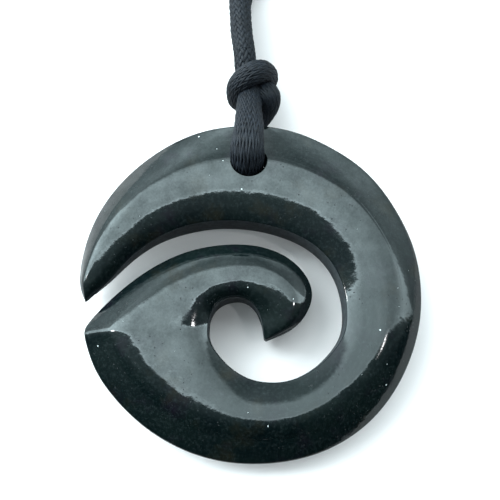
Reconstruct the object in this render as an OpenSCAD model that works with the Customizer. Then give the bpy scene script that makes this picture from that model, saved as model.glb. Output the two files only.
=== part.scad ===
// A jade pendant, carved as an open spiral, lying on a table on its braided cord.
// The jade lies on its back with its top raised by the cord that runs under it.
// +X is to the right, +Y is up the pendant and +Z is up off the table.
// The middle of the jade's own box stands over the origin, with its lowest edge at Z = 0.

/* [Jade] */
// Width of the jade across its disc
jade_w = 42; // [41.5:0.1:42]
// Thickness of the jade at its crest
jade_t = 5.6; // [5.2:0.1:5.8]
// Width of the drilled cord hole
hole_d = 4.2; // [4:0.1:4.4]
// How far the slot's inner wall leans out at its foot, as a share of its height
wall_draft = 0.08; // [0:0.02:0.14]
// Width of the rounding along the back edges
back_round = 1; // [0.6:0.1:1.4]
// Angle at which the jade leans back on its cord, in degrees
lean = 4; // [3.6:0.1:4.2]

/* [Cord] */
// Thickness of the cord where it lies free
cord_d = 3; // [2.6:0.1:3]
// Width of the cord where it is pressed flat in the hanging loop
loop_w = 3.6; // [3:0.1:3.7]
// Thickness of the cord there
loop_t = 2.3; // [2:0.1:2.3]

/* [Detail] */
// Sections of the jade between two rows of the plan
steps = 3; // [2:1:3]
// Facets round the cord hole
hole_facets = 48; // [24:4:72]

/* [Hidden] */

// Plan of the spiral in millimetres for a disc 42 wide: one row for each section across the
// stone, from the tip of the long arm clockwise to the tip of the curl.
// Columns: outer edge x, outer edge y, inner lip x, inner lip y
PLAN_W = 42;
PLAN = [
    // long arm, from its tip over the top to the right-hand side
    [-20.1, -2.0, -19.8, -2.1],
    [-21.0, 0.1, -18.8, -1.1],
    [-20.7, 3.8, -17.1, 0.4],
    [-19.3, 8.3, -14.6, 3.2],
    [-16.5, 12.7, -11.6, 5.5],
    [-12.3, 16.6, -8.4, 6.9],
    [-7.0, 19.5, -5.1, 7.6],
    [-1.2, 20.5, -1.8, 7.7],
    [4.6, 20.0, 1.4, 7.3],
    [9.9, 17.7, 4.5, 6.4],
    [14.7, 14.2, 7.3, 5.0],
    [18.1, 9.2, 9.6, 2.8],
    [20.2, 4.0, 10.9, 0.2],
    [20.7, -1.5, 11.4, -2.7],
    // round the bottom of the disc, under the eye
    [19.9, -6.6, 11.2, -5.7],
    [17.6, -11.9, 9.8, -8.0],
    [13.8, -16.5, 7.6, -10.1],
    [8.4, -19.7, 4.9, -11.4],
    [2.0, -21.0, 2.2, -11.7],
    [-4.7, -20.5, -0.3, -11.2],
    [-10.7, -18.0, -2.4, -9.9],
    [-15.3, -14.3, -3.9, -8.3],
    [-18.3, -10.5, -4.7, -7.1],
    // round the point at the left, where the sections fan out from the eye
    [-19.6, -7.2, -5.0, -6.1],
    [-19.9, -5.9, -5.0, -5.6],
    [-19.6, -4.8, -5.0, -5.1],
    [-17.3, -2.2, -4.9, -4.3],
    // the curl, over the eye to its tip
    [-13.4, 1.2, -4.5, -3.2],
    [-8.5, 3.9, -3.7, -2.3],
    [-3.4, 5.0, -2.5, -1.8],
    [1.2, 4.8, -1.2, -1.7],
    [4.8, 3.3, -0.1, -2.1],
    [7.1, 0.7, 0.8, -3.0],
    [7.5, -2.0, 1.3, -4.1],
    [5.8, -4.9, 1.5, -5.1],
    [3.4, -6.2, 1.6, -5.9],
    [2.0, -6.7, 1.7, -6.5]
];

// Section of the stone for a crest 5.6 thick. Heights are in millimetres off the back, and
// the shares are of the section's width, measured from the outer edge.
// Columns: row of the plan, height of the outer edge, share taken by the bevel, height of
// the shoulder that ends it, share at which the crest lies, crest height, inner lip height,
// how late the inner slope rolls over (2 is an even curve, 4 is flat with a round rim), and how
// often wall_draft the inner wall leans out at its foot, or in where that is below 0
PROFILE_T = 5.6;
PROFILE = [
    [ 0, 1.4, 0.30, 2.4, 0.50, 2.7, 2.2, 2, -3],
    [ 1, 1.8, 0.30, 3.5, 0.46, 3.7, 2.8, 3, -3],
    [ 3, 2.4, 0.35, 4.6, 0.53, 4.8, 3.6, 3, -1],
    [ 5, 2.6, 0.37, 5.15, 0.59, 5.35, 4.2, 2.2, 0.5],
    [ 8, 2.7, 0.37, 5.4, 0.59, 5.6, 4.4, 2, 0.5],
    [11, 3.2, 0.34, 5.4, 0.59, 5.6, 4.5, 2, 0.5],
    [14, 3.2, 0.28, 5.1, 0.52, 5.6, 4.5, 2, 0],
    [16, 3.0, 0.24, 4.6, 0.57, 5.6, 4.2, 2, 0],
    [18, 3.0, 0.30, 4.6, 0.52, 5.6, 4.1, 2, 0],
    [19, 3.0, 0.28, 4.5, 0.54, 5.6, 3.9, 2, 0],
    [20, 3.0, 0.25, 4.5, 0.50, 5.6, 4.2, 3, 0],
    [22, 3.0, 0.24, 4.6, 0.46, 5.6, 4.4, 4, 0],
    [24, 3.0, 0.22, 4.9, 0.48, 5.6, 4.4, 4, 0],
    [26, 3.0, 0.26, 5.1, 0.50, 5.6, 4.4, 4, 0],
    [28, 3.0, 0.32, 5.0, 0.56, 5.4, 4.1, 4, 0.5],
    [31, 3.0, 0.36, 4.7, 0.57, 4.9, 3.9, 4, 0.5],
    [33, 3.0, 0.28, 4.3, 0.44, 4.5, 3.7, 2, 0.5],
    [34, 3.0, 0.20, 4.0, 0.40, 4.2, 3.6, 2, 0],
    [36, 2.6, 0.30, 3.1, 0.50, 3.2, 3.0, 2, 0]
];
ROW = 0;
EDGE = 1;
BEVEL = 2;
SHOULDER = 3;
CREST = 4;
TOP = 5;
LIP = 6;
ROLL = 7;
DRAFT = 8;

// Slope of the stone where the bevel meets the shoulder
bevel_slope = 0.45;
// How much steeper than its mean the bevel starts at the outer edge
rim_steep = 1.2;
// Share of a section that its back's rounding, or a wall that leans in, takes at the most
narrow_share = 0.3;
// Rounding at the foot of the inner wall
foot_round = 0.4;
// How far the tip of the long arm is ground back at its foot
tip_rake = 1.2;
// Points along the back rounding, the bevel, the face and the inner slope
back_n = 4;
bevel_n = 4;
face_n = 3;
slope_n = 4;

// Middle of the cord hole on the jade's own plan
HOLE = [-0.2, 15];
// How far the drill passes the stone on both faces
drill_over = 1;

// Route of the cord through the hanging loop: out of the knot, over the front of the jade,
// down through the hole, and back up between the jade and the table.
LOOP_ROUTE = [
    [0.0, 22.3, 6.0], [0.0, 20.9, 6.8], [0.0, 19.2, 8.0], [-0.1, 17.7, 8.8],
    [-0.2, 16.4, 8.8], [-0.2, 15.5, 7.9], [-0.2, 15.1, 6.5], [-0.2, 15.0, 5.0],
    [-0.2, 15.1, 3.5], [-0.2, 15.4, 2.3], [-0.1, 16.2, 1.4], [0.0, 17.6, 1.2],
    [0.1, 19.4, 1.2], [0.2, 21.0, 1.3], [0.3, 22.3, 1.6]
];

// Route of the cord inside the knot: up from the hanging loop's rear end, round the right
// lobe, behind the front strand, round the left lobe, over the front as the top band, down
// behind, and out at the top as the lower of two strands.
KNOT_ROUTE = [
    [0.3, 22.0, 1.6], [1.1, 23.1, 1.9], [2.0, 24.0, 2.7], [2.6, 24.9, 3.8],
    [2.3, 25.8, 4.3], [0.9, 26.5, 3.0], [-0.5, 26.5, 1.9], [-1.3, 25.9, 2.2],
    [-1.5, 26.1, 3.6], [-1.3, 26.6, 4.8], [-0.5, 27.1, 5.8], [0.6, 27.6, 6.3],
    [1.6, 28.1, 5.8], [2.3, 28.4, 4.4], [2.3, 28.5, 2.8], [1.6, 28.5, 1.7],
    [0.6, 29.1, 1.6], [-0.1, 30.6, 1.6], [-0.4, 32.0, 1.6]
];
// The front strand, from the top of the knot down to the hanging loop's front end
STRAND_ROUTE = [
    [-0.6, 32.0, 4.7], [-0.4, 29.4, 4.2], [0.2, 27.2, 4.1], [0.1, 25.0, 4.6],
    [0.0, 23.2, 5.5], [0.0, 22.0, 6.1]
];
// The knot is cut flat here, where the hanging loop and the neck cord meet it
knot_low = 22.3;
knot_high = 31.5;
// Size of the slab that keeps the knot, across and up
knot_slab = [40, 20];
// Facets round the cord inside the knot
knot_facets = 12;

// Route of the neck cord: off the top of the knot on its own lower strand, down to the
// table, once round as it would lie when laid out, and back to the knot underneath.
NECK_ROUTE = [
    [-0.6, 31.5, 4.7], [-1.0, 34.5, 4.7], [-1.2, 38, 4.6], [-1.6, 42, 4.4],
    [-4, 48, 3.2], [-9, 55, 2], [-18, 66, 1.5], [-33, 84, 1.5],
    [-50, 108, 1.5], [-64, 138, 1.5], [-72, 172, 1.5], [-72, 207, 1.5],
    [-63, 240, 1.5], [-46, 267, 1.5], [-23, 285, 1.5], [3, 291, 1.5],
    [29, 284, 1.5], [52, 265, 1.5], [68, 237, 1.5], [76, 204, 1.5],
    [74, 169, 1.5], [64, 135, 1.5], [49, 106, 1.5], [32, 83, 1.5],
    [17, 65, 1.5], [7, 53, 1.5], [1, 46, 1.5], [-1.1, 41, 1.5],
    [-0.9, 36, 1.5], [-0.4, 31.5, 1.5]
];
// Facets round the cord's tubes
tube_sides = 8;
// Rings to each step of the hanging loop's route and of the neck cord's
loop_rings = 1;
neck_rings = 2.2;
// Share of a step over which the cord's direction is taken
ahead_step = 0.05;
// Rise of the cord's direction from which it counts as upright
upright = 0.999;

// Smooth curves

// A curve through b at t = 0 and c at t = 1, which a and d bend
function through(a, b, c, d, t) =
    0.5 * (2 * b + (c - a) * t + (2 * a - 5 * b + 4 * c - d) * t * t
        + (3 * b - a - 3 * c + d) * t * t * t);

// The row of a table at a fractional place u, on a smooth curve through all its rows
function row_at(table, u) =
    let (last = len(table) - 1, i = min(floor(u), last - 1))
    through(table[max(i - 1, 0)], table[i], table[i + 1], table[min(i + 2, last)], u - i);

// A curve from p to q that starts along m and ends along n
function bend(p, q, m, n, t) =
    (2 * t * t * t - 3 * t * t + 1) * p + (t * t * t - 2 * t * t + t) * m
    + (3 * t * t - 2 * t * t * t) * q + (t * t * t - t * t) * n;

// A column of the profile at place u
function profile(u, column) = lookup(u, [for (row = PROFILE) [row[ROW], row[column]]]);

function unit(v) = v / norm(v);

// The jade

plan_scale = jade_w / PLAN_W;
height_scale = jade_t / PROFILE_T;

// One section of the stone, as [distance in from the outer edge, height off the back]
function section(u, w) =
    let (
        edge = profile(u, EDGE) * height_scale,
        shoulder = profile(u, SHOULDER) * height_scale,
        top = profile(u, TOP) * height_scale,
        lip = profile(u, LIP) * height_scale,
        roll = profile(u, ROLL),
        bevel = profile(u, BEVEL) * w,
        crest = profile(u, CREST) * w,
        rounding = min(back_round, narrow_share * w),
        foot = min(foot_round, narrow_share * w),
        wall_lean = profile(u, DRAFT) * wall_draft * (lip - foot),
        wall_foot = w + max(wall_lean, -narrow_share * w)
    )
    [
        for (i = [0:back_n - 1])
            let (a = 90 * i / back_n)
            [rounding * (1 - sin(a)), edge * (1 - cos(a))],
        for (i = [0:bevel_n - 1])
            bend([0, edge], [bevel, shoulder], [bevel, rim_steep * (shoulder - edge)],
                bevel * [1, bevel_slope], i / bevel_n),
        for (i = [0:face_n - 1])
            let (t = i / face_n)
            [bevel + (crest - bevel) * t, top - (top - shoulder) * (1 - t) * (1 - t)],
        for (i = [0:slope_n])
            let (t = i / slope_n)
            [crest + (w - crest) * t, top - (top - lip) * pow(t, roll)],
        [wall_foot, foot],
        [wall_foot - foot, 0]
    ];

// How far, and which way, a point at height h near the tip of the long arm is ground back
function tip_back(u, h) =
    let (along = [PLAN[1][0] - PLAN[0][0], PLAN[1][1] - PLAN[0][1]])
    tip_rake * max(1 - u, 0) * (1 - h / PROFILE[0][TOP]) * unit(along);

// One section of the stone in three dimensions, flat on its back
function stone_ring(u) =
    let (
        row = row_at(PLAN, u) * plan_scale,
        outer = [row[0], row[1]],
        inner = [row[2], row[3]],
        w = norm(inner - outer),
        across = (inner - outer) / w
    )
    [
        for (p = section(u, w))
            let (flat = outer + across * p[0] + tip_back(u, p[1]))
            [flat[0], flat[1], p[1]]
    ];

stone_rings = [for (i = [0:steps * (len(PLAN) - 1)]) stone_ring(i / steps)];

// The leaning stone's points, and the shift that sets its box down over the origin
function leaned(p) =
    [p[0], p[1] * cos(lean) - p[2] * sin(lean), p[1] * sin(lean) + p[2] * cos(lean)];
leaned_points = [for (ring = stone_rings) for (p = ring) leaned(p)];
lows = [for (k = [0:2]) min([for (p = leaned_points) p[k]])];
highs = [for (k = [0:2]) max([for (p = leaned_points) p[k]])];
set_down = [-(lows[0] + highs[0]) / 2, -(lows[1] + highs[1]) / 2, -lows[2]];

// A closed skin over rings of points, each with the same number, and flat ends
module skin(rings) {
    n = len(rings[0]);
    last = len(rings) - 1;
    sides = [
        for (r = [0:last - 1])
            for (i = [0:n - 1])
                let (a = r * n + i, b = r * n + (i + 1) % n, c = b + n, d = a + n)
                each [[a, b, c], [a, c, d]]
    ];
    first_end = [for (i = [n - 1:-1:0]) i];
    last_end = [for (i = [0:n - 1]) last * n + i];
    polyhedron([for (ring = rings) each ring], concat(sides, [first_end, last_end]));
}

module jade_pendant() {
    color([0.13, 0.19, 0.16])
        translate(set_down)
            rotate([lean, 0, 0])
                difference() {
                    skin(stone_rings);
                    translate([HOLE[0] * plan_scale, HOLE[1] * plan_scale, -drill_over])
                        cylinder(d = hole_d, h = jade_t + 2 * drill_over, $fn = hole_facets);
                }
}

// The cord

// One ring round the cord: centre, direction of the cord, the way its width lies, and sizes
function cord_ring(centre, ahead, side, wide, thick) =
    let (across = unit(side - (side * ahead) * ahead), up = cross(across, ahead))
    [
        for (i = [0:tube_sides - 1])
            let (a = 360 * (i + 0.5) / tube_sides)
            centre + across * (wide / 2 * cos(a)) + up * (thick / 2 * sin(a))
    ];

// Rings along a smooth curve through a route, whose ends are cut square to two directions
function cord_rings(route, per_step, wide, thick, start_ahead, end_ahead) =
    let (last = len(route) - 1, count = round(per_step * last))
    [
        for (i = [0:count])
            let (
                u = last * i / count,
                step = row_at(route, min(u + ahead_step, last))
                    - row_at(route, max(u - ahead_step, 0)),
                ahead = i == 0 ? start_ahead : i == count ? end_ahead : unit(step),
                side = abs(ahead[2]) > upright ? [1, 0, 0] : [ahead[1], -ahead[0], 0]
            )
            cord_ring(row_at(route, u), ahead, side, wide, thick)
    ];

module hanging_loop() {
    color([0.12, 0.13, 0.15])
        skin(cord_rings(LOOP_ROUTE, loop_rings, loop_w, loop_t, [0, -1, 0], [0, 1, 0]));
}

module neck_cord() {
    color([0.12, 0.13, 0.15])
        skin(cord_rings(NECK_ROUTE, neck_rings, cord_d, cord_d, [0, 1, 0], [0, -1, 0]));
}

// The cord as a chain of balls along a route
module knotted(route) {
    for (i = [0:len(route) - 2])
        hull() {
            translate(route[i]) sphere(d = cord_d, $fn = knot_facets);
            translate(route[i + 1]) sphere(d = cord_d, $fn = knot_facets);
        }
}

module knot() {
    color([0.12, 0.13, 0.15])
        intersection() {
            union() {
                knotted(KNOT_ROUTE);
                knotted(STRAND_ROUTE);
            }
            translate([-knot_slab[0] / 2, knot_low, 0])
                cube([knot_slab[0], knot_high - knot_low, knot_slab[1]]);
        }
}

jade_pendant();
hanging_loop();
knot();
neck_cord();
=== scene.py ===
import math

import bmesh
import bpy
import numpy as np
from mathutils import Matrix, Vector, noise


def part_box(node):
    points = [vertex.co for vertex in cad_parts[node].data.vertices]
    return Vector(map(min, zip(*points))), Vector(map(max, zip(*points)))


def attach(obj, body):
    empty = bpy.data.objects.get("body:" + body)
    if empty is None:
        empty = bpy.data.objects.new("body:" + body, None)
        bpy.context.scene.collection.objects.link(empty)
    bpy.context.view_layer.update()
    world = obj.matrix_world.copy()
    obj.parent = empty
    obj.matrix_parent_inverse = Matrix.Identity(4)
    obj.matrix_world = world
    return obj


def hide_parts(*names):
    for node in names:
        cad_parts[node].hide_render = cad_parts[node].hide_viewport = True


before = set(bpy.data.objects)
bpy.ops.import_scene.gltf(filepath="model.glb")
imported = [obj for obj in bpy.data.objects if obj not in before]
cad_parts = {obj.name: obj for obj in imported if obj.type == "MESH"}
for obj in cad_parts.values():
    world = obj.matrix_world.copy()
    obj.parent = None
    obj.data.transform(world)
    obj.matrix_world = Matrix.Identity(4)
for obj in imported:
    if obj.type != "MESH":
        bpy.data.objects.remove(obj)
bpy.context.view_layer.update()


# Camera
# It looks down on the pendant from the side of its lower edge, 15 degrees off the vertical,
# and shows 20 mm of cord above the stone.
MM = 0.001
CAMERA_PLACE = (0.13, -18.57, 90.85)
CAMERA_TILT = 15
CAMERA_LENS = 52.47


def in_scene(name, data):
    """A new object in the scene, at the origin, for a mesh, a lamp or the camera."""
    thing = bpy.data.objects.new(name, data)
    bpy.context.scene.collection.objects.link(thing)
    return thing


camera_data = bpy.data.cameras.new("camera")
camera_data.lens = CAMERA_LENS
camera_data.clip_start = MM
camera = in_scene("camera", camera_data)
camera.location = Vector(CAMERA_PLACE) * MM
camera.rotation_euler = (math.radians(CAMERA_TILT), 0, 0)
bpy.context.scene.camera = camera


# Cord
# One closed ring of 3 mm braid, 0.70 m long: flat nylon yarns laid each way round a
# black core, each yarn passing over two others and under two. It was threaded through the
# stone, knotted above it, and goes once round the neck and back to the knot.
CORD_THICK = 2.95
# Yarns each way on the neck cord, and the finer ones on the loop and in the knot
NECK_YARNS = 20
LOOP_YARNS = 30
# What the widths of the yarns that run one way add up to
YARN_SPREAD = 8.8
YARN_THICK = 0.19
# How far the weave lifts a yarn of the neck cord, and how far slack lets it stand off the rest
YARN_WAVE = 0.10
YARN_SLACK = 0.06
# How finely the slack changes along a yarn, in changes to the metre
SLACK_SCALE = 700.0
CORE_INSET = 0.42
CORE_SIDES = 12
CORD_COLOUR = (0.0046, 0.0072, 0.0112)
CORD_CORE_COLOUR = (0.0012, 0.0015, 0.0020)
LOOP_ROUTE = [
    (0.0, 22.3, 6.0), (0.0, 20.9, 6.8), (0.0, 19.2, 8.0), (-0.1, 17.7, 8.8),
    (-0.2, 16.4, 8.8), (-0.2, 15.5, 7.9), (-0.2, 15.1, 6.5), (-0.2, 15.0, 5.0),
    (-0.2, 15.1, 3.5), (-0.2, 15.4, 2.3), (-0.1, 16.2, 1.4), (0.0, 17.6, 1.2),
    (0.1, 19.4, 1.2), (0.2, 21.0, 1.3), (0.3, 22.3, 1.6),
]
KNOT_ROUTE = [
    (0.3, 22.0, 1.6), (1.1, 23.1, 1.9), (2.0, 24.0, 2.7), (2.6, 24.9, 3.8),
    (2.3, 25.8, 4.3), (0.9, 26.5, 3.0), (-0.5, 26.5, 1.9), (-1.3, 25.9, 2.2),
    (-1.5, 26.1, 3.6), (-1.3, 26.6, 4.8), (-0.5, 27.1, 5.8), (0.6, 27.6, 6.3),
    (1.6, 28.1, 5.8), (2.3, 28.4, 4.4), (2.3, 28.5, 2.8), (1.6, 28.5, 1.7),
    (0.6, 29.1, 1.6), (-0.1, 30.6, 1.6), (-0.4, 32.0, 1.6),
]
NECK_ROUTE = [
    (-0.6, 31.5, 4.7), (-1.0, 34.5, 4.7), (-1.2, 38, 4.6), (-1.6, 42, 4.4),
    (-4, 48, 3.2), (-9, 55, 2), (-18, 66, 1.5), (-33, 84, 1.5),
    (-50, 108, 1.5), (-64, 138, 1.5), (-72, 172, 1.5), (-72, 207, 1.5),
    (-63, 240, 1.5), (-46, 267, 1.5), (-23, 285, 1.5), (3, 291, 1.5),
    (29, 284, 1.5), (52, 265, 1.5), (68, 237, 1.5), (76, 204, 1.5),
    (74, 169, 1.5), (64, 135, 1.5), (49, 106, 1.5), (32, 83, 1.5),
    (17, 65, 1.5), (7, 53, 1.5), (1, 46, 1.5), (-1.1, 41, 1.5),
    (-0.9, 36, 1.5), (-0.4, 31.5, 1.5),
]
STRAND_ROUTE = [
    (-0.6, 32.0, 4.7), (-0.4, 29.4, 4.2), (0.2, 27.2, 4.1), (0.1, 25.0, 4.6),
    (0.0, 23.2, 5.5), (0.0, 22.0, 6.1),
]
# Width, thickness and length of lay where the cord changes them, by its point in the ring
LOOP_SIZES = [
    (3.40, 2.60, 40), (3.55, 2.45, 50), (3.75, 2.35, 62), (3.90, 2.35, 66),
    (4.20, 2.85, 66), (4.30, 3.85, 60), (4.12, 3.98, 50), (4.10, 3.95, 36),
    (4.05, 3.60, 36), (3.80, 2.40, 36), (3.60, 2.10, 36), (3.50, 2.10, 36),
    (3.50, 2.20, 36), (3.40, 2.40, 34), (3.20, 2.80, 34),
]
KNOT_SIZE = (3.15, 2.95, 32)
STRAND_SIZES = [(3.0, 3.0, 20), (3.1, 3.0, 24), (3.2, 2.9, 29), (3.3, 2.7, 32)]
NECK_SIZE = (CORD_THICK, CORD_THICK, 18)
# Steps of the cord's line from one point of its route to the next
LINE_STEPS = 24


def between(a, b, c, d, t):
    """The value at share t of the way from b to c, on a smooth curve that passes a and d too."""
    return 0.5 * (2 * b + (c - a) * t + (2 * a - 5 * b + 4 * c - d) * t * t
                  + (3 * b - a - 3 * c + d) * t * t * t)


def through(rows, u):
    """The value at a fractional place u on a smooth curve through rows that run in a ring."""
    i = math.floor(u)
    return between(*(rows[k % len(rows)] for k in (i - 1, i, i + 1, i + 2)), u - i)


def unit(v):
    return v / np.linalg.norm(v)


# The ring starts at the front end of the hanging loop and runs through the stone first. The
# routes of the knot and the strand reach past its cut ends, so their end points are left out.
knot_points = KNOT_ROUTE[1:-1]
strand_points = STRAND_ROUTE[1:-1]
ring_points = np.array(LOOP_ROUTE + knot_points + NECK_ROUTE[::-1] + strand_points, float) * MM
ring_sizes = np.array(LOOP_SIZES + [KNOT_SIZE] * len(knot_points)
                      + [NECK_SIZE] * len(NECK_ROUTE) + STRAND_SIZES, float) * MM
# The points of the ring at which one node of the frame gives way to the next
LOOP_END = len(LOOP_ROUTE) - 1
KNOT_END = LOOP_END + len(knot_points) + 1
NECK_END = KNOT_END + len(NECK_ROUTE) - 1
ring_count = LINE_STEPS * len(ring_points)
cord_places = np.array([through(ring_points, i / LINE_STEPS) for i in range(ring_count + 1)])
cord_sizes = np.array([through(ring_sizes, i / LINE_STEPS) for i in range(ring_count + 1)])
cord_steps = np.linalg.norm(np.diff(cord_places, axis=0), axis=1)
# Turns of the lay along the ring, stretched a little to a whole number so that its ends meet
laps = np.concatenate([[0], np.cumsum(cord_steps / cord_sizes[:-1, 2])])
laps *= round(laps[-1]) / laps[-1]
# The way the cord's width lies is carried along the ring without twist
cord_aheads = [unit(cord_places[(k + 1) % ring_count] - cord_places[(k - 1) % ring_count])
               for k in range(ring_count + 1)]
cord_sides = [np.array((1.0, 0, 0))]
for ahead in cord_aheads[1:]:
    cord_sides.append(unit(cord_sides[-1] - ahead * cord_sides[-1].dot(ahead)))
# What it is out by where the ring closes is turned back evenly over the neck cord
closing_up = np.cross(cord_sides[0], cord_aheads[0])
closing_turn = math.atan2(cord_sides[-1].dot(closing_up), cord_sides[-1].dot(cord_sides[0]))
for k in range(ring_count + 1):
    done = min(max((k / LINE_STEPS - KNOT_END) / (NECK_END - KNOT_END), 0), 1)
    up = np.cross(cord_sides[k], cord_aheads[k])
    turn = -closing_turn * done
    cord_sides[k] = cord_sides[k] * math.cos(turn) + up * math.sin(turn)
cord_sides = np.array(cord_sides)


def stretch(name, first, last):
    """A line along the cord between two of its points, with its sizes, its lay and its side."""
    rows = slice(first * LINE_STEPS, last * LINE_STEPS + 1)
    places = cord_places[rows]
    mesh = bpy.data.meshes.new(name)
    mesh.from_pydata(places.tolist(), [(i, i + 1) for i in range(len(places) - 1)], [])
    mesh.attributes.new("side", "FLOAT_VECTOR", "POINT").data.foreach_set(
        "vector", np.ravel(cord_sides[rows]))
    for label, values in (("half_wide", cord_sizes[rows, 0] / 2),
                          ("half_thick", cord_sizes[rows, 1] / 2), ("laps", laps[rows])):
        mesh.attributes.new(label, "FLOAT", "POINT").data.foreach_set("value", values)
    return in_scene(name, mesh)


class Tree:
    """Adds nodes to a node tree and joins them by name."""

    def __init__(self, tree):
        self.tree = tree

    def add(self, kind, settings=None, **sockets):
        node = self.tree.nodes.new(kind)
        for key, value in (settings or {}).items():
            setattr(node, key, value)
        for key, value in sockets.items():
            self.set(node, key, value)
        return node

    def set(self, node, key, value):
        names = key.replace("_", " ").lower()
        if key[0] == "i" and key[1:].isdigit():
            socket = node.inputs[int(key[1:])]
        else:
            socket = next(s for s in node.inputs if s.name.lower() == names and s.enabled)
        if isinstance(value, bpy.types.NodeSocket):
            self.tree.links.new(value, socket)
        elif value is not None:
            socket.default_value = value

    def math(self, operation, a, b=None, c=None):
        node = self.add("ShaderNodeMath", {"operation": operation}, i0=a)
        if b is not None:
            self.set(node, "i1", b)
        if c is not None:
            self.set(node, "i2", c)
        return node.outputs[0]

    def vector(self, operation, a, b=None, scale=None):
        node = self.add("ShaderNodeVectorMath", {"operation": operation}, i0=a)
        if b is not None:
            self.set(node, "i1", b)
        if scale is not None:
            self.set(node, "scale", scale)
        return node.outputs["Value" if operation in ("DOT_PRODUCT", "LENGTH") else "Vector"]


def new_interface(tree, inputs, outputs):
    """Gives a node tree its named inputs and outputs."""
    for label, kind, value in inputs:
        socket = tree.interface.new_socket(label, in_out="INPUT", socket_type=kind)
        if value is not None:
            socket.default_value = value
    for label, kind in outputs:
        tree.interface.new_socket(label, in_out="OUTPUT", socket_type=kind)


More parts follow.
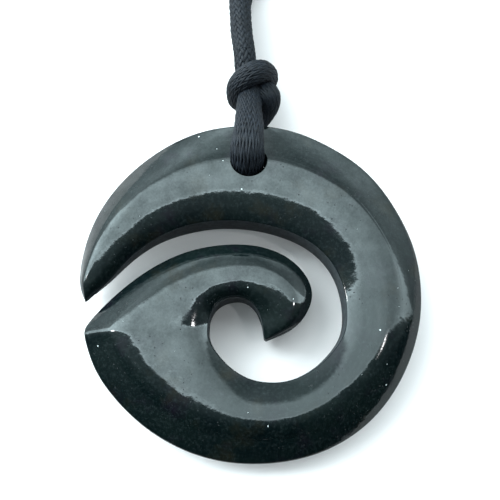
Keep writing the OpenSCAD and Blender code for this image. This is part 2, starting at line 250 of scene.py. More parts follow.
def braid_tree():
    """Geometry nodes that lay the yarns of one direction along a stretch of the cord."""
    tree = bpy.data.node_groups.new("braided_cord", "GeometryNodeTree")
    new_interface(tree, [
        ("Line", "NodeSocketGeometry", None),
        ("Yarns", "NodeSocketInt", 16),
        ("Turn", "NodeSocketFloat", 1.0),
        ("Step", "NodeSocketFloat", 0.0005),
        ("Yarn width", "NodeSocketFloat", 0.0005),
        ("Yarn thickness", "NodeSocketFloat", 0.0002),
        ("Wave", "NodeSocketFloat", 0.0001),
        ("Slack", "NodeSocketFloat", 0.00002),
        ("Sides", "NodeSocketInt", 4),
        ("Material", "NodeSocketMaterial", None),
    ], [("Yarn mesh", "NodeSocketGeometry")])
    t = Tree(tree)
    given = t.add("NodeGroupInput").outputs
    curve = t.add("GeometryNodeMeshToCurve", Mesh=given["Line"]).outputs["Curve"]
    even = t.add("GeometryNodeResampleCurve", {"mode": "LENGTH"}, Curve=curve, Length=given["Step"])
    copies = t.add("GeometryNodeDuplicateElements", {"domain": "SPLINE"},
                   Geometry=even.outputs["Curve"], Amount=given["Yarns"])
    index = copies.outputs["Duplicate Index"]

    def named(label, kind="FLOAT"):
        return t.add("GeometryNodeInputNamedAttribute", {"data_type": kind}, Name=label).outputs["Attribute"]

    ahead = t.add("GeometryNodeInputTangent").outputs["Tangent"]
    side = named("side", "FLOAT_VECTOR")
    side = t.vector("SUBTRACT", side, t.vector("SCALE", ahead, scale=t.vector("DOT_PRODUCT", side, ahead)))
    side = t.vector("NORMALIZE", side)
    up = t.vector("CROSS_PRODUCT", side, ahead)
    # Where the yarn stands round the cord, and how far through its over and under
    turned_laps = t.math("MULTIPLY", named("laps"), given["Turn"])
    share = t.math("DIVIDE", index, given["Yarns"])
    angle = t.math("MULTIPLY", t.math("ADD", turned_laps, share), 2 * math.pi)
    crossings = t.math("ADD", index, t.math("MULTIPLY", turned_laps, given["Yarns"]))
    phase = t.math("SUBTRACT", t.math("MULTIPLY", crossings, math.pi), math.pi / 4)
    lift = t.math("MULTIPLY", t.math("COSINE", phase), given["Turn"])
    lift = t.math("MULTIPLY", lift, given["Wave"])
    # Slack lets each yarn stand a little prouder or lower than its neighbours
    place = t.vector("ADD", t.add("GeometryNodeInputPosition").outputs["Position"],
                     t.add("ShaderNodeCombineXYZ", X=index, Y=given["Turn"]).outputs["Vector"])
    uneven = t.add("ShaderNodeTexNoise", Vector=place, Scale=SLACK_SCALE, Detail=0.0).outputs[0]
    lift = t.math("ADD", lift, t.math("MULTIPLY", t.math("SUBTRACT", uneven, 0.5), given["Slack"]))
    sunk = t.math("ADD", given["Wave"], t.math("MULTIPLY", given["Yarn thickness"], 0.5))
    sunk = t.math("SUBTRACT", sunk, lift)
    wide = t.math("SUBTRACT", named("half_wide"), sunk)
    thick = t.math("SUBTRACT", named("half_thick"), sunk)
    cosine = t.math("COSINE", angle)
    sine = t.math("SINE", angle)
    offset = t.vector("ADD", t.vector("SCALE", side, scale=t.math("MULTIPLY", cosine, wide)),
                      t.vector("SCALE", up, scale=t.math("MULTIPLY", sine, thick)))
    outward = t.vector("ADD", t.vector("SCALE", side, scale=t.math("MULTIPLY", cosine, thick)),
                       t.vector("SCALE", up, scale=t.math("MULTIPLY", sine, wide)))
    # These are kept before the points move, because they are worked out from the cord's line
    kept = t.add("GeometryNodeCaptureAttribute", Geometry=copies.outputs["Geometry"])
    for label, kind, value in (("Outward", "VECTOR", outward), ("Offset", "VECTOR", offset),
                               ("Along", "FLOAT", named("laps"))):
        kept.capture_items.new(kind, label)
        t.tree.links.new(value, kept.inputs[label])
    moved = t.add("GeometryNodeSetPosition", Geometry=kept.outputs["Geometry"],
                  Offset=kept.outputs["Offset"])
    turned = t.add("GeometryNodeSetCurveNormal", {"mode": "FREE"}, Curve=moved.outputs["Geometry"],
                   Normal=t.vector("NORMALIZE", kept.outputs["Outward"]))
    ring = t.add("GeometryNodeCurvePrimitiveCircle", {"mode": "RADIUS"}, Resolution=given["Sides"],
                 Radius=0.5)
    marked = t.add("GeometryNodeCaptureAttribute", Geometry=ring.outputs["Curve"])
    marked.capture_items.new("FLOAT", "Round")
    t.tree.links.new(t.add("GeometryNodeSplineParameter").outputs["Factor"], marked.inputs["Round"])
    flat = t.add("ShaderNodeCombineXYZ", X=given["Yarn thickness"], Y=given["Yarn width"], Z=1.0)
    oval = t.add("GeometryNodeTransform", Geometry=marked.outputs["Geometry"], Scale=flat.outputs["Vector"])
    swept = t.add("GeometryNodeCurveToMesh", Curve=turned.outputs["Curve"],
                  Profile_Curve=oval.outputs["Geometry"], Fill_Caps=True)
    uv = t.add("ShaderNodeCombineXYZ", X=marked.outputs["Round"], Y=kept.outputs["Along"])
    stored = t.add("GeometryNodeStoreNamedAttribute", {"data_type": "FLOAT2", "domain": "CORNER"},
                   Geometry=swept.outputs["Mesh"], Name="UVMap", Value=uv.outputs["Vector"])
    smooth = t.add("GeometryNodeSetShadeSmooth", Geometry=stored.outputs["Geometry"])
    real = t.add("GeometryNodeRealizeInstances", Geometry=smooth.outputs["Geometry"])
    dressed = t.add("GeometryNodeSetMaterial", Geometry=real.outputs["Geometry"], Material=given["Material"])
    t.add("NodeGroupOutput", i0=dressed.outputs["Geometry"])
    return tree


def new_material(name):
    material = bpy.data.materials.new(name)
    material.use_nodes = True
    material.node_tree.nodes.clear()
    return material, Tree(material.node_tree)


def grain_group():
    """A shader group that all finishes use: fine grain, and a colour that it lightens or darkens."""
    tree = bpy.data.node_groups.new("fine_grain", "ShaderNodeTree")
    new_interface(tree, [
        ("Place", "NodeSocketVector", None),
        ("Scale", "NodeSocketFloat", 1000.0),
        ("Detail", "NodeSocketFloat", 2.0),
        ("Roughness", "NodeSocketFloat", 0.5),
        ("Colour", "NodeSocketColor", None),
        ("Gain", "NodeSocketFloat", 1.0),
        ("Base", "NodeSocketFloat", 0.0),
    ], [("Grain", "NodeSocketFloat"), ("Colour", "NodeSocketColor")])
    t = Tree(tree)
    given = t.add("NodeGroupInput").outputs
    noisy = t.add("ShaderNodeTexNoise", Vector=given["Place"], Scale=given["Scale"],
                  Detail=given["Detail"], Roughness=given["Roughness"]).outputs[0]
    tone = t.math("MULTIPLY_ADD", noisy, given["Gain"], given["Base"])
    t.add("NodeGroupOutput", i0=noisy, i1=t.vector("SCALE", given["Colour"], scale=tone))
    return tree


GRAIN = grain_group()


def grain(t, scale, detail, roughness=0.5, colour=(0, 0, 0), gain=1.0, base=0.0):
    """The grain group's outputs, placed in a material with the values of its own finish."""
    place = t.add("ShaderNodeTexCoord").outputs["Object"]
    return t.add("ShaderNodeGroup", {"node_tree": GRAIN}, Place=place, Scale=scale, Detail=detail,
                 Roughness=roughness, Colour=(*colour, 1), Gain=gain, Base=base).outputs


def yarn_material():
    """Black nylon yarn: fine filaments along it and a satin gloss, with lighter streaks in its colour that
    are partly painted sheen.
    """
    material, t = new_material("satin_yarn")
    uv = t.add("ShaderNodeUVMap", {"uv_map": "UVMap"}).outputs["UV"]
    stretched = t.add("ShaderNodeMapping", Vector=uv, Scale=(9.0, 40.0, 1.0)).outputs["Vector"]
    filament = t.add("ShaderNodeTexNoise", Vector=stretched, Scale=1.0, Detail=2.0).outputs[0]
    patch = grain(t, 1400.0, 2.0)["Grain"]
    # Partly painted sheen: the colour runs lighter along filament streaks and patches, standing in for the
    # satin's short light strokes, over the yarn's own uneven tone
    tone = t.add("ShaderNodeMapRange", Value=t.math("ADD", filament, t.math("MULTIPLY", patch, 0.8)),
                 From_Min=0.55, From_Max=1.25, To_Min=0.25, To_Max=2.1)
    colour = t.vector("SCALE", CORD_COLOUR, scale=tone.outputs["Result"])
    rough = t.add("ShaderNodeMapRange", Value=filament, From_Min=0.3, From_Max=0.7,
                  To_Min=0.42, To_Max=0.70).outputs["Result"]
    raised = t.add("ShaderNodeBump", Strength=0.8, Distance=0.00004, Height=filament).outputs["Normal"]
    surface = t.add("ShaderNodeBsdfPrincipled", Base_Color=colour, Roughness=rough, Specular_IOR_Level=0.26,
                    Normal=raised)
    t.add("ShaderNodeOutputMaterial", Surface=surface.outputs["BSDF"])
    return material


def core_material():
    """The cord's core: dull black, seen only between the yarns."""
    material, t = new_material("cord_core")
    fleck = grain(t, 4000.0, 2.0, colour=CORD_CORE_COLOUR, base=0.5)
    raised = t.add("ShaderNodeBump", Strength=0.5, Distance=0.00003, Height=fleck["Grain"])
    surface = t.add("ShaderNodeBsdfPrincipled", Base_Color=fleck["Colour"], Roughness=0.85,
                    Normal=raised.outputs["Normal"])
    t.add("ShaderNodeOutputMaterial", Surface=surface.outputs["BSDF"])
    return material


BRAID = braid_tree()
YARN = yarn_material()
CORE = core_material()


def lay_yarns(name, line, turn, step, sides, yarns):
    """One piece: the yarns that run one way round a stretch of the cord, made a plain mesh."""
    maker = in_scene(name + "_maker", line.data)
    modifier = maker.modifiers.new("braid", "NODES")
    modifier.node_group = BRAID
    # Finer yarns weave flatter, by the square of their width
    wave = YARN_WAVE * (NECK_YARNS / yarns) ** 2
    values = {"Yarns": yarns, "Turn": float(turn), "Step": step * MM, "Sides": sides,
              "Yarn width": YARN_SPREAD / yarns * MM, "Yarn thickness": YARN_THICK * MM,
              "Wave": wave * MM, "Slack": YARN_SLACK * MM, "Material": YARN}
    for item in BRAID.interface.items_tree:
        if item.in_out == "INPUT" and item.name in values:
            modifier[item.identifier] = values[item.name]
    evaluated = maker.evaluated_get(bpy.context.evaluated_depsgraph_get())
    mesh = bpy.data.meshes.new_from_object(evaluated)
    mesh.name = name
    bpy.data.objects.remove(maker)
    return in_scene(name, mesh)


def skinned(name, shell, rings):
    """The closed mesh of a skin over rings of points, with both of its ends capped."""
    n = len(rings[0])
    for one, two in zip(rings, rings[1:]):
        for k in range(n):
            shell.faces.new((one[k], one[(k + 1) % n], two[(k + 1) % n], two[k]))
    shell.faces.new(rings[0][::-1])
    shell.faces.new(rings[-1])
    bmesh.ops.recalc_face_normals(shell, faces=shell.faces)
    mesh = bpy.data.meshes.new(name)
    shell.to_mesh(mesh)
    shell.free()
    return mesh


def lay_core(name, line, stride):
    """One piece: the core under the yarns, a closed tube through every few points of a line."""
    mesh = line.data
    count = len(mesh.vertices)

    def read(values, key, width):
        out = np.empty(count * width)
        values.foreach_get(key, out)
        return out.reshape(count, width)

    places = read(mesh.vertices, "co", 3)
    side = read(mesh.attributes["side"].data, "vector", 3)
    wide = read(mesh.attributes["half_wide"].data, "value", 1) - CORE_INSET * MM
    thick = read(mesh.attributes["half_thick"].data, "value", 1) - CORE_INSET * MM
    ahead = np.gradient(places, axis=0)
    turns = [2 * math.pi * k / CORE_SIDES for k in range(CORE_SIDES)]
    shell = bmesh.new()
    rings = []
    for i in sorted({*range(0, count, stride), count - 1}):
        across = side[i] * wide[i]
        up = np.cross(side[i], unit(ahead[i])) * thick[i]
        rings.append([shell.verts.new(places[i] + across * math.cos(a) + up * math.sin(a))
                      for a in turns])
    made = skinned(name, shell, rings)
    made.shade_smooth()
    made.materials.append(CORE)
    return in_scene(name, made)


# Step along the yarns, sides of a yarn, and points of the line to each ring of the core, where
# the cord is seen near and where it lies far off
NEAR_MAKE = (0.26, 8, 4)
FAR_MAKE = (0.45, 4, 8)


def braid(name, node, first, last, make, yarns):
    """The braid between two points of the ring, which stands for one node of the frame."""
    step, sides, stride = make
    line = stretch(name + "_line", first, last)
    pieces = [lay_yarns(name + "_yarns_right", line, 1, step, sides, yarns),
              lay_yarns(name + "_yarns_left", line, -1, step, sides, yarns),
              lay_core(name + "_core", line, stride)]
    bpy.data.objects.remove(line)
    for piece in pieces:
        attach(piece, "root")
        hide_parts(node)


# Hanging loop
# The stretch that holds the stone: it comes down over the front edge pressed wide and flat,
# fills the drilled hole and goes back up between the stone and the table.
braid("loop", "hanging_loop", 0, LOOP_END, NEAR_MAKE, LOOP_YARNS)

# Knot
# A fat overhand knot drawn tight above the stone. Its pull has lengthened the lay of the
# yarns, so that they run nearly straight. The front strand goes through it from top to bottom.
braid("knot", "knot", LOOP_END, KNOT_END, NEAR_MAKE, LOOP_YARNS)
# The top band hides the place where the front strand's yarns are drawn finer
UNDER_BAND = NECK_END + 2
braid("strand_top", "knot", NECK_END, UNDER_BAND, NEAR_MAKE, NECK_YARNS)
braid("strand", "knot", UNDER_BAND, len(ring_points), NEAR_MAKE, LOOP_YARNS)

# Neck cord
# The rest of the ring, laid once round on the table. It leaves the knot on its own lower
# strand, which comes back to the knot underneath.
# How many points of its route from the knot it is seen near
NEAR_POINTS = 4
NECK_HALF = (KNOT_END + NECK_END) // 2
braid("neck_start", "neck_cord", KNOT_END, KNOT_END + NEAR_POINTS, NEAR_MAKE, NECK_YARNS)
braid("neck_right", "neck_cord", KNOT_END + NEAR_POINTS, NECK_HALF, FAR_MAKE, NECK_YARNS)
braid("neck_left", "neck_cord", NECK_HALF, NECK_END - NEAR_POINTS, FAR_MAKE, NECK_YARNS)
braid("neck_end", "neck_cord", NECK_END - NEAR_POINTS, NECK_END, NEAR_MAKE, NECK_YARNS)


# Jade pendant
# One piece of nephrite, sawn to an open spiral, ground to a soft ridge along its arm with a
# bevel on the outside, drilled for its cord and hand polished. It leans 4 degrees on the cord.
JADE_LEAN = 4
BACK_ROUND = 1.0
WALL_DRAFT = 0.08
FOOT_ROUND = 0.4
# No rounding and no lean takes more than this share of a narrow section's width
NARROW_SHARE = 0.3
TIP_RAKE = 1.2
BEVEL_SLOPE = 0.45
RIM_STEEP = 1.2
RIM_ROUND = 0.22
CREASE_ROUND = 0.22
LIP_ROUND = 0.16
GROOVE_WIDE = 0.16
# A rounding takes at most this share of the way to a corner's neighbours
ROUND_MOST = 0.45
# Points on the back's rounding, the bevel, the outer face and the inner slope of a section
BACK_POINTS = 8
BEVEL_POINTS = 11
FACE_POINTS = 10
SLOPE_POINTS = 13
# Shares of the bevel, the face and the slope at which their own points start or end
BEVEL_START = 0.15
FACE_START = 0.14
SLOPE_END = 0.92
# Shares of the face and the slope toward which the crease and the lip are rounded
CREASE_AIM = 0.12
LIP_AIM = 0.93
# Shares of the inner wall and of the flat back at which they have points between their ends
WALL_SHARES = (0.35, 0.7)
# Faces that meet at more than this many degrees meet in a sharp edge
SHARP_ANGLE = 38
HOLE_PLACE = (-0.2, 15.0)
HOLE_WIDE = 4.2
HOLE_CHAMFER = 0.08
HOLE_SIDES = 96
# Height of the front at the middle of the hole, and its slope across the hole
HOLE_TOP = 5.3
HOLE_TOP_SLOPE = -0.155
# Depth and length of the long and the short waves that the hand polish left
POLISH_DEEP = 0.015
POLISH_LONG = 2.6
POLISH_SHALLOW = 0.0025
POLISH_SHORT = 0.9
# Sections of the stone from one row of its plan to the next
JADE_STEPS = 14
JADE_COLOUR = (0.0011, 0.0036, 0.0042)
JADE_CLOUD_COLOUR = (0.0034, 0.0074, 0.0070)
JADE_VIOLET_COLOUR = (0.0048, 0.0044, 0.0078)
JADE_RUST_COLOUR = (0.0090, 0.0090, 0.0052)
JADE_GRAIN_COLOUR = (0.0200, 0.0290, 0.0300)
JADE_SPECK_COLOUR = (0.45, 0.52, 0.52)
# Painted shade: the walls' colour, a dim violet grey set to the tone they show in shade
FILED_WALL_SHADE_COLOUR = (0.0330, 0.0400, 0.0440)
# A face whose normal rises less than this off the back is a filed wall, whose finish carries painted shade
WALL_SHADE_RISE = 0.35
# How ragged the spots are, and how finely they drift, in drifts to the metre
SPOT_RAGGED = 0.25
DRIFT_SCALE = 160.0
# Painted shade in the coat: which way it gets stronger, between which two distances, and the share of it
# kept at the first
SHADE_WAY = (-0.6, 0.8, 0.0)
SHADE_REACH = (-14, 1)
SHADE_COAT_LEAST = 0.1
# Plan, from the tip of the long arm clockwise to the tip of the curl
# Columns: outer edge x, outer edge y, inner lip x, inner lip y
PLAN = [
    (-20.1, -2.0, -19.8, -2.1), (-21.0, 0.1, -18.8, -1.1), (-20.7, 3.8, -17.1, 0.4),
    (-19.3, 8.3, -14.6, 3.2), (-16.5, 12.7, -11.6, 5.5), (-12.3, 16.6, -8.4, 6.9),
    (-7.0, 19.5, -5.1, 7.6), (-1.2, 20.5, -1.8, 7.7), (4.6, 20.0, 1.4, 7.3),
    (9.9, 17.7, 4.5, 6.4), (14.7, 14.2, 7.3, 5.0), (18.1, 9.2, 9.6, 2.8),
    (20.2, 4.0, 10.9, 0.2), (20.7, -1.5, 11.4, -2.7), (19.9, -6.6, 11.2, -5.7),
    (17.6, -11.9, 9.8, -8.0), (13.8, -16.5, 7.6, -10.1), (8.4, -19.7, 4.9, -11.4),
    (2.0, -21.0, 2.2, -11.7), (-4.7, -20.5, -0.3, -11.2), (-10.7, -18.0, -2.4, -9.9),
    (-15.3, -14.3, -3.9, -8.3), (-18.3, -10.5, -4.7, -7.1), (-19.6, -7.2, -5.0, -6.1),
    (-19.9, -5.9, -5.0, -5.6), (-19.6, -4.8, -5.0, -5.1), (-17.3, -2.2, -4.9, -4.3),
    (-13.4, 1.2, -4.5, -3.2), (-8.5, 3.9, -3.7, -2.3), (-3.4, 5.0, -2.5, -1.8),
    (1.2, 4.8, -1.2, -1.7), (4.8, 3.3, -0.1, -2.1), (7.1, 0.7, 0.8, -3.0),
    (7.5, -2.0, 1.3, -4.1), (5.8, -4.9, 1.5, -5.1), (3.4, -6.2, 1.6, -5.9),
    (2.0, -6.7, 1.7, -6.5),
]
# Section along the plan. Heights are off the back, shares are of the section's width
# Columns: row of the plan, outer edge, bevel share, shoulder, crest share, crest, inner lip,
# how late the inner slope rolls over, lean of the inner wall in units of its draft, depth of
# the line that the grinding left in the crease
PROFILE = [
    (0, 1.4, 0.30, 2.4, 0.50, 2.7, 2.2, 2, -3, 0.00),
    (1, 1.8, 0.30, 3.5, 0.46, 3.7, 2.8, 3, -3, 0.00),
    (3, 2.4, 0.35, 4.6, 0.53, 4.8, 3.6, 3, -1, 0.00),
    (5, 2.6, 0.37, 5.15, 0.59, 5.35, 4.2, 2.2, 0.5, 0.01),
    (8, 2.7, 0.37, 5.4, 0.59, 5.6, 4.4, 2, 0.5, 0.03),
    (11, 3.2, 0.34, 5.4, 0.59, 5.6, 4.5, 2, 0.5, 0.04),
    (14, 3.2, 0.28, 5.1, 0.52, 5.6, 4.5, 2, 0, 0.00),
    (16, 3.0, 0.24, 4.6, 0.57, 5.6, 4.2, 2, 0, 0.00),
    (18, 3.0, 0.30, 4.6, 0.52, 5.6, 4.1, 2, 0, 0.00),
    (19, 3.0, 0.28, 4.5, 0.54, 5.6, 3.9, 2, 0, 0.00),
    (20, 3.0, 0.25, 4.5, 0.50, 5.6, 4.2, 3, 0, 0.00),
    (22, 3.0, 0.24, 4.6, 0.46, 5.6, 4.4, 4, 0, 0.00),
    (24, 3.0, 0.22, 4.9, 0.48, 5.6, 4.4, 4, 0, 0.00),
    (26, 3.0, 0.26, 5.1, 0.50, 5.6, 4.4, 4, 0, 0.00),
    (28, 3.0, 0.32, 5.0, 0.56, 5.4, 4.1, 4, 0.5, 0.00),
    (31, 3.0, 0.36, 4.7, 0.57, 4.9, 3.9, 4, 0.5, 0.01),
    (33, 3.0, 0.28, 4.3, 0.44, 4.5, 3.7, 2, 0.5, 0.00),
    (34, 3.0, 0.20, 4.0, 0.40, 4.2, 3.6, 2, 0, 0.00),
    (36, 2.6, 0.30, 3.1, 0.50, 3.2, 3.0, 2, 0, 0.00),
]
# The plan and the profile are eased over so many rows of the plan each way, as an average of
# these shares of the way with these weights
EASE = 0.7
EASE_SHARES = np.linspace(-1, 1, 9)
EASE_WEIGHTS = np.cos(EASE_SHARES * math.pi / 2) + 0.05
plan_rows = np.array(PLAN)
profile_rows = np.array(PROFILE)


def plan_row(u):
    """The plan's columns at place u along the arm, on a smooth curve through its rows."""
    last = len(plan_rows) - 1
    i = min(int(u), last - 1)
    return between(*(plan_rows[min(max(k, 0), last)] for k in (i - 1, i, i + 1, i + 2)), u - i)


def plan_at(u):
    """Outer edge and inner lip at place u, eased so that the ground edges run on without a kink."""
    ease = min(EASE, u, len(plan_rows) - 1 - u)
    row = np.average([plan_row(u + ease * s) for s in EASE_SHARES], axis=0, weights=EASE_WEIGHTS)
    return row[:2], row[2:]


def profile_at(u):
    """The profile's columns at place u, eased so that the polished faces run on without a kink."""
    at, *columns = profile_rows.T
    return [np.average(np.interp(u + EASE * EASE_SHARES, at, column), weights=EASE_WEIGHTS)
            for column in columns]


def rounded(before, corner, after, radius, count):
    """Points of a curve that rounds a corner, between the directions of its two neighbours."""
    before, corner, after = (np.asarray(p, float) for p in (before, corner, after))
    one, two = (corner + unit(way) * min(radius, ROUND_MOST * np.linalg.norm(way))
                for way in (before - corner, after - corner))
    shares = np.linspace(0, 1, count)
    return [(1 - s) ** 2 * one + 2 * s * (1 - s) * corner + s * s * two for s in shares]


def jade_section(u, width):
    """One section of the stone as (distance in from the outer edge, height off the back)."""
    edge, bevel, shoulder, crest, top, lip, roll, draft, groove = profile_at(u)
    bevel, crest = bevel * width, crest * width
    rounding = min(BACK_ROUND, NARROW_SHARE * width)
    foot = min(FOOT_ROUND, NARROW_SHARE * width)
    wall_foot = width + max(draft * WALL_DRAFT * (lip - foot), -NARROW_SHARE * width)
    # The fine roundings and the groove fade out where the stone is under 2 mm wide
    fine = min(1.0, width / 2)
    points = []
    for a in np.linspace(0, math.pi / 2, BACK_POINTS)[:-1]:
        points.append((rounding * (1 - math.sin(a)), edge * (1 - math.cos(a))))

    def ground(s):
        """The bevel: steep at the rim, easing to a gentle slope at the crease."""
        h = (2 * s ** 3 - 3 * s * s + 1, s ** 3 - 2 * s * s + s, 3 * s * s - 2 * s ** 3, s ** 3 - s * s)
        return (h[1] * bevel + h[2] * bevel + h[3] * bevel,
                h[0] * edge + h[1] * RIM_STEEP * (shoulder - edge) + h[2] * shoulder
                + h[3] * bevel * BEVEL_SLOPE)

    points += rounded((0, edge - RIM_ROUND), (0, edge), ground(BEVEL_START), RIM_ROUND * fine, 5)
    points += [ground(s) for s in np.linspace(BEVEL_START, 1, BEVEL_POINTS)[:-1]]

    def face(s):
        """The front from the crease up to the crest."""
        return (bevel + (crest - bevel) * s, top - (top - shoulder) * (1 - s) ** 2)

    corner = points.pop()
    points += rounded(corner, (bevel, shoulder), face(CREASE_AIM), CREASE_ROUND * fine, 7)
    points += [face(s) for s in np.linspace(FACE_START, 1, FACE_POINTS)[:-1]]

    def slope(s):
        """The front from the crest down to the inner lip."""
        return (crest + (width - crest) * s, top - (top - lip) * s ** roll)

    points += [slope(s) for s in np.linspace(0, SLOPE_END, SLOPE_POINTS)]
    wall = [(width + (wall_foot - width) * s, lip + (foot - lip) * s) for s in WALL_SHARES]
    points += rounded(slope(LIP_AIM), slope(1), wall[0], LIP_ROUND * fine, 6)
    points += wall
    points += rounded((wall_foot, 2 * foot), (wall_foot, 0), (wall_foot - 2 * foot, 0), foot, 5)
    inner = wall_foot - foot
    points += [(inner + (rounding - inner) * s, 0) for s in WALL_SHARES]
    points = np.array(points)
    points[:, 1] -= groove * np.exp(-((points[:, 0] - bevel) / GROOVE_WIDE) ** 2) * fine
    return points


def jade_mesh():
    """The stone, flat on its back and before its hole is drilled, in millimetres."""
    stone = bmesh.new()
    rings = []
    arm_way = unit(plan_rows[1, :2] - plan_rows[0, :2])
    tip_high = profile_rows[0, 5]
    count = JADE_STEPS * (len(PLAN) - 1)
    for i in range(count + 1):
        outer, inner = plan_at(i / JADE_STEPS)
        width = np.linalg.norm(inner - outer)
        across = (inner - outer) / width
        # The tip of the long arm is ground back at its foot
        rake = TIP_RAKE * max(1 - i / JADE_STEPS, 0) * arm_way
        ring = []
        for distance, height in jade_section(i / JADE_STEPS, width):
            x, y = outer + across * distance + rake * (1 - height / tip_high)
            wave = noise.noise(Vector((x, y, 0)) / POLISH_LONG) * POLISH_DEEP
            wave += noise.noise(Vector((x, y, 7)) / POLISH_SHORT) * POLISH_SHALLOW
            ring.append(stone.verts.new((x, y, height + wave * min(1.0, height))))
        rings.append(ring)
    return skinned("jade_blank", stone, rings)


def drill_mesh():
    """The drill: a cylinder that opens into a small chamfer at both faces of the stone."""
    radius = HOLE_WIDE / 2
    # Radius, height and the share of the front's slope that the ring follows
    rows = [(radius + HOLE_CHAMFER + 1, -1, 0), (radius, HOLE_CHAMFER, 0),
            (radius, HOLE_TOP - HOLE_CHAMFER, 1), (radius + HOLE_CHAMFER + 1, HOLE_TOP + 1, 1)]
    turns = np.linspace(0, 2 * math.pi, HOLE_SIDES, endpoint=False)
    cutter = bmesh.new()
    rings = []
    for r, z, share in rows:
        rings.append([cutter.verts.new((HOLE_PLACE[0] + r * math.cos(a), HOLE_PLACE[1] + r * math.sin(a),
                                        z + share * HOLE_TOP_SLOPE * r * math.sin(a)))
                      for a in turns])
    return skinned("drill", cutter, rings)


def spots(t, place, scale, size, share, seed):
    """A mask of small round spots in a share of the cells, a little ragged and thinned in drifts."""
    moved = t.vector("ADD", place, (seed, seed, 0.0))
    ragged = t.add("ShaderNodeTexNoise", Vector=moved, Scale=scale * 5, Detail=2.0).outputs["Color"]
    bent = t.vector("ADD", moved, t.vector("SCALE", ragged, scale=SPOT_RAGGED / scale))
    cell = t.add("ShaderNodeTexVoronoi", Vector=bent, Scale=scale)
    pick = t.add("ShaderNodeSeparateXYZ", Vector=cell.outputs["Color"]).outputs
    drift = t.add("ShaderNodeTexNoise", Vector=moved, Scale=DRIFT_SCALE, Detail=1.0).outputs[0]
    chance = t.math("MULTIPLY", t.math("GREATER_THAN", drift, 0.5), share)
    near = t.math("LESS_THAN", cell.outputs["Distance"], t.math("MULTIPLY", pick["Y"], size))
    return t.math("MULTIPLY", near, t.math("LESS_THAN", pick["X"], chance))


def tinted(t, share, one, two):
    """A colour between two others, of which either may come from another node."""
    mix = t.add("ShaderNodeMix", {"data_type": "RGBA"})
    t.set(mix, "i0", share)
    for index, colour in ((6, one), (7, two)):
        t.set(mix, "i%d" % index, (*colour, 1) if isinstance(colour, tuple) else colour)
    return mix.outputs[2]


def jade_material():
    """Polished dark nephrite: almost black green, clouded, with fine pits and mineral specks."""
    material, t = new_material("polished_jade")
    place = t.add("ShaderNodeTexCoord").outputs["Object"]

    def noise_mask(scale, detail, low, high, seed=0.0, roughness=0.6):
        mottle = t.add("ShaderNodeTexNoise", {"noise_dimensions": "4D"}, Vector=place, W=seed,
                       Scale=scale, Detail=detail, Roughness=roughness).outputs[0]
        return t.add("ShaderNodeMapRange", Value=mottle, From_Min=low, From_Max=high).outputs["Result"]

    colour = tinted(t, noise_mask(170.0, 5.0, 0.42, 0.70), JADE_COLOUR, JADE_CLOUD_COLOUR)
    colour = tinted(t, noise_mask(260.0, 4.0, 0.55, 0.72, 2.0), colour, JADE_VIOLET_COLOUR)
    colour = tinted(t, noise_mask(210.0, 6.0, 0.56, 0.74, 5.0), colour, JADE_RUST_COLOUR)
    colour = tinted(t, noise_mask(2600.0, 5.0, 0.50, 0.85, 8.0, 0.75), colour, JADE_GRAIN_COLOUR)
    pits = spots(t, place, 2300.0, 0.26, 0.42, 0.031)
    specks = spots(t, place, 1300.0, 0.15, 0.12, 0.057)
    colour = tinted(t, pits, colour, JADE_COLOUR)
    colour = tinted(t, specks, colour, JADE_SPECK_COLOUR)
    # The polish took unevenly: clouds and grains of the stone mirror less than the rest
    clouds = noise_mask(420.0, 5.0, 0.34, 0.66, 3.0)
    grains = noise_mask(4200.0, 3.0, 0.32, 0.68, 4.0)
    polish_and_shade = t.math("ADD", t.math("MULTIPLY", clouds, 0.7), t.math("MULTIPLY", grains, 0.4))
    # Painted shade: toward the lower right of the stone the coat thins, so that the faces there mirror less
    # and look darker
    across_stone = t.vector("DOT_PRODUCT", place, SHADE_WAY)
    kept = t.add("ShaderNodeMapRange", Value=across_stone, From_Min=SHADE_REACH[0] * MM,
                 From_Max=SHADE_REACH[1] * MM, To_Min=SHADE_COAT_LEAST).outputs["Result"]
    polish_and_shade = t.math("MULTIPLY", polish_and_shade, kept)
    coat = t.math("MULTIPLY", polish_and_shade, t.math("SUBTRACT", 1.0, pits))
    rough = t.add("ShaderNodeMapRange", Value=clouds, To_Min=0.13, To_Max=0.05).outputs["Result"]
    rough = t.math("MAXIMUM", rough, t.math("MULTIPLY", pits, 0.38))
    height = t.math("SUBTRACT", grain(t, 800.0, 3.0)["Grain"], t.math("MULTIPLY", pits, 0.3))
    raised = t.add("ShaderNodeBump", Strength=1.0, Distance=0.000020, Height=height).outputs["Normal"]
    surface = t.add("ShaderNodeBsdfPrincipled", Base_Color=colour, Roughness=rough, IOR=1.46, Normal=raised,
                    Coat_Weight=coat, Coat_Roughness=0.04, Coat_Normal=raised)
    t.add("ShaderNodeOutputMaterial", Surface=surface.outputs["BSDF"])
    return material


def filed_wall_shade_material():
    """The walls of the slot, of the rim and of the hole: filed dull and not polished, with a weak gloss and
    a flat violet-grey colour that paint the shade they lie in.
    """
    material, t = new_material("filed_jade_painted_shade")
    scratch_and_shade = grain(t, 1500.0, 5.0, 0.65, FILED_WALL_SHADE_COLOUR, gain=2.0)
    raised = t.add("ShaderNodeBump", Strength=0.8, Distance=0.00005, Height=scratch_and_shade["Grain"])
    surface = t.add("ShaderNodeBsdfPrincipled", Base_Color=scratch_and_shade["Colour"], Roughness=0.55,
                    Specular_IOR_Level=0.15, Normal=raised.outputs["Normal"])
    t.add("ShaderNodeOutputMaterial", Surface=surface.outputs["BSDF"])
    return material


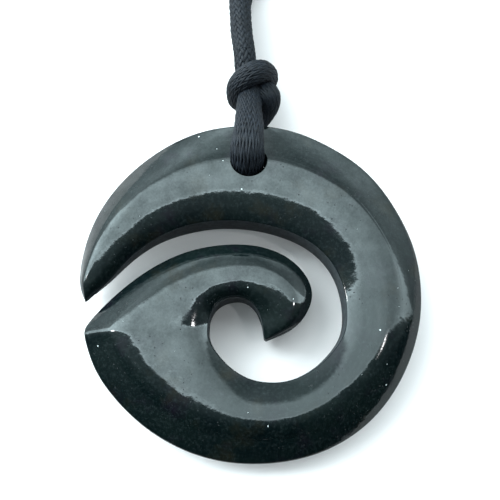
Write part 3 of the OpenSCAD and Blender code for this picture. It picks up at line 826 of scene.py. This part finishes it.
blank = in_scene("jade_blank", jade_mesh())
drill = in_scene("drill", drill_mesh())
cut = blank.modifiers.new("hole", "BOOLEAN")
cut.operation = "DIFFERENCE"
cut.solver = "EXACT"
cut.object = drill
drilled = bpy.data.meshes.new_from_object(blank.evaluated_get(bpy.context.evaluated_depsgraph_get()))
for made in (blank, drill):
    bpy.data.objects.remove(made)
drilled.materials.clear()
drilled.materials.append(jade_material())
drilled.materials.append(filed_wall_shade_material())
# Steep faces take the filed walls' finish, with its painted shade
for face in drilled.polygons:
    face.use_smooth = True
    face.material_index = 1 if abs(face.normal.z) < WALL_SHADE_RISE else 0
drilled.transform(Matrix.Rotation(math.radians(JADE_LEAN), 4, "X"))
drilled.transform(Matrix.Scale(MM, 4))
# Its box is set where the frame has the stone's own box
low, high = (Vector(corner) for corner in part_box("jade_pendant"))
stone_points = [v.co for v in drilled.vertices]
my_low = Vector([min(p[k] for p in stone_points) for k in range(3)])
my_high = Vector([max(p[k] for p in stone_points) for k in range(3)])
shift = (low + high - my_low - my_high) / 2
shift.z = low.z - my_low.z
drilled.transform(Matrix.Translation(shift))
drilled.set_sharp_from_angle(angle=math.radians(SHARP_ANGLE))
drilled.name = "jade_stone"
jade_stone = in_scene("jade_stone", drilled)
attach(jade_stone, "root")
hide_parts("jade_pendant")


# Table and light
# A plain white table under one broad window of soft light, which stands from the zenith back
# past the top of the pendant, and two small lamps. On the side of the camera the room is
# nearly dark, with a faint fill for what is dull.
TABLE_HALF = 1.5
TABLE_WHITE = 0.9
TABLE_MIRRORED = 0.36
TABLE_ROUGH = 0.8
# Lamps stand this far from the stone, in metres
LAMP_FAR = 0.6
# Columns: name, degrees across and back off the zenith, width and length in metres, brightness
LAMPS = [("lamp", 28, -8, 0.035, 0.035, 60), ("left_lamp", -47, -6, 0.05, 0.03, 30)]


def grey(tone):
    return (tone, tone, tone, 1)


def either(t, switch, one, two):
    """The first shader, or the second where the switch is on."""
    mix = t.add("ShaderNodeMixShader")
    for index, socket in enumerate((switch, one, two)):
        t.tree.links.new(socket, mix.inputs[index])
    return mix.outputs[0]


table_mesh = bpy.data.meshes.new("table_top")
table_mesh.from_pydata([(-TABLE_HALF, -TABLE_HALF, 0), (TABLE_HALF, -TABLE_HALF, 0),
                        (TABLE_HALF, TABLE_HALF, 0), (-TABLE_HALF, TABLE_HALF, 0)], [], [(0, 1, 2, 3)])
table_top = in_scene("table_top", table_mesh)
table_material, t = new_material("white_table")
# The table is dimmer where the polish mirrors it, so that the steep rim stays dark
tops = [t.add("ShaderNodeBsdfPrincipled", Base_Color=grey(tone), Roughness=TABLE_ROUGH).outputs["BSDF"]
        for tone in (TABLE_WHITE, TABLE_MIRRORED)]
mirrored_ray = t.add("ShaderNodeLightPath").outputs["Is Glossy Ray"]
t.add("ShaderNodeOutputMaterial", Surface=either(t, mirrored_ray, *tops))
table_mesh.materials.append(table_material)

for name, across, back, wide, long, radiance in LAMPS:
    data = bpy.data.lights.new(name, "AREA")
    data.shape = "RECTANGLE"
    data.size = wide
    data.size_y = long
    data.energy = radiance * math.pi * wide * long
    lamp = in_scene(name, data)
    toward = Vector((math.tan(math.radians(across)), math.tan(math.radians(back)), 1)).normalized()
    lamp.location = toward * LAMP_FAR
    lamp.rotation_mode = "QUATERNION"
    lamp.rotation_quaternion = toward.to_track_quat("Z", "Y")
    lamp.visible_camera = False

# What the polished faces mirror, and what lights the table and all that is dull: two rooms
# Columns: degrees back from the zenith toward the top of the pendant, brightness
MIRRORED_TONES = [
    (-90, 0.005), (-60, 0.01), (-35, 0.07), (-20, 0.26), (-5.6, 0.36), (-5.2, 7.0), (-3.8, 6.0),
    (-2.2, 3.9), (26, 3.9), (33, 1.1), (60, 0.8), (75, 1.1), (90, 1.1),
]
LIGHTING_TONES = [
    (-90, 0.08), (-60, 0.30), (-30, 0.60), (-8, 0.45), (0, 0.55), (12, 0.8), (17, 4.2), (45, 5.2),
    (60, 3.8), (75, 2.0), (90, 1.0),
]
# Columns: degrees across from the zenith toward the right, share of the brightness
MIRRORED_SIDES = [
    (-90, 0.70), (-70, 1.20), (-52, 1.95), (-20, 0.99), (0, 1.0), (10, 0.93), (22, 0.70),
    (35, 0.62), (50, 0.92), (62, 1.25), (75, 1.10), (90, 0.50),
]
LIGHTING_SIDES = [
    (-90, 1.5), (-72, 3.8), (-50, 3.2), (-25, 1.1), (0, 0.5), (20, 0.55), (60, 1.0), (90, 0.6),
]
MIRRORED_TINT = (0.79, 1.0, 1.05)
LIGHTING_TINT = (0.90, 1.0, 1.03)
# How strongly clouds change what the polish mirrors, and the white that the camera sees
SKY_CLOUDS = 0.20
BACKDROP_WHITE = 0.95
world = bpy.data.worlds.new("room")
bpy.context.scene.world = world
world.use_nodes = True
world.node_tree.nodes.clear()
t = Tree(world.node_tree)
direction = t.add("ShaderNodeTexCoord").outputs["Generated"]
way = t.add("ShaderNodeSeparateXYZ", Vector=direction).outputs
upward = t.math("MAXIMUM", way["Z"], 0.001)
sky = t.add("ShaderNodeTexNoise", Vector=direction, Scale=9.0, Detail=6.0, Roughness=0.65).outputs[0]
cloudy = t.math("ADD", 1.0, t.math("MULTIPLY", t.math("SUBTRACT", sky, 0.5), 2 * SKY_CLOUDS))


def by_angle(lean, table):
    """A brightness that follows a table of degrees off the zenith, toward one of its sides."""
    place = t.add("ShaderNodeMapRange", Value=t.math("ARCTAN2", lean, upward),
                  From_Min=-math.pi / 2, From_Max=math.pi / 2)
    ramp = t.add("ShaderNodeValToRGB")
    t.set(ramp, "i0", place.outputs["Result"])
    while len(ramp.color_ramp.elements) < len(table):
        ramp.color_ramp.elements.new(1.0)
    for mark, (degrees, tone) in zip(ramp.color_ramp.elements, table):
        mark.position = (degrees + 90) / 180
        mark.color = grey(tone)
    return ramp.outputs["Color"]


def room_light(tones, sides, tint, strength=1.0):
    """One of the two rooms: the light that comes from each way, from its two tables."""
    colour = t.vector("MULTIPLY", by_angle(way["Y"], tones), by_angle(way["X"], sides))
    colour = t.vector("SCALE", t.vector("MULTIPLY", colour, tint), scale=strength)
    return t.add("ShaderNodeBackground", Color=colour, Strength=1.0).outputs[0]


seen = t.add("ShaderNodeLightPath").outputs
lighting = room_light(LIGHTING_TONES, LIGHTING_SIDES, LIGHTING_TINT)
mirrored = room_light(MIRRORED_TONES, MIRRORED_SIDES, MIRRORED_TINT, cloudy)
pale = t.add("ShaderNodeBackground", Color=grey(1), Strength=BACKDROP_WHITE).outputs[0]
both = either(t, seen["Is Glossy Ray"], lighting, mirrored)
t.add("ShaderNodeOutputWorld", Surface=either(t, seen["Is Camera Ray"], both, pale))
bpy.context.scene.view_settings.view_transform = "Standard"
